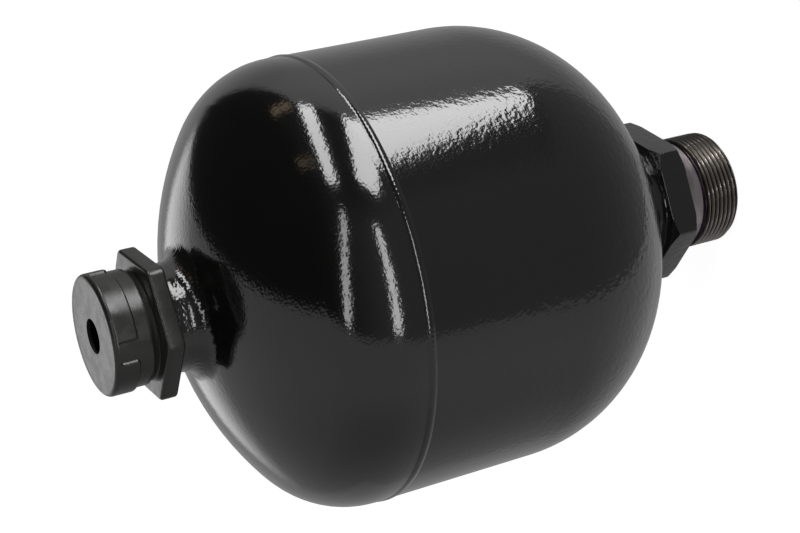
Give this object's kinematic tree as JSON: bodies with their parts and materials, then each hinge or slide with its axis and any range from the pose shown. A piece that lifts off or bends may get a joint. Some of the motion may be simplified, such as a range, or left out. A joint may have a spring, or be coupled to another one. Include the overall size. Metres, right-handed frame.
{
  "type": "bladder accumulator",
  "caption": "Welded hydraulic accumulator: domed black steel drum with a threaded fluid port on one end and a capped gas filling boss on the other.",
  "frame": {"origin": "centre of the fluid port's end face, which is the lowest point of the part as it stands on its port", "axes": "+Z along the vessel's axis from the fluid port to the gas end, +X through a corner of the port's hexagon"},
  "size_m": [0.1238, 0.1238, 0.195],
  "materials": {
    "shell_paint": "high-gloss black paint with a slight orange peel",
    "port_metal": "bare turned thread with a bronze tint, hexagon painted black",
    "cap_plastic": "semi-matte moulded black",
    "rubber": "matte moulded rubber",
    "bare_steel": "turned steel"
  },
  "bodies": {
    "vessel": {"fluid_end_shell": "shell_paint", "gas_end_shell": "shell_paint", "girth_weld": "shell_paint", "fluid_port": "port_metal", "fluid_port_weld": "shell_paint", "gas_boss": "shell_paint", "gas_boss_weld": "shell_paint", "charging_screw": "bare_steel", "charging_screw_seal": "rubber", "protective_cap": "cap_plastic", "bladder": "rubber", "clamp_ring": "bare_steel"},
    "button": {"closing_button": "bare_steel"}
  },
  "joints": [
    {"name": "button_lift", "type": "slide", "parent": "vessel", "child": "button", "axis": [0, 0, 1], "range_m": [0, 0.06], "stiffness_N_per_m": 200, "springref_m": -0.05, "deforming": ["bladder"]}
  ]
}
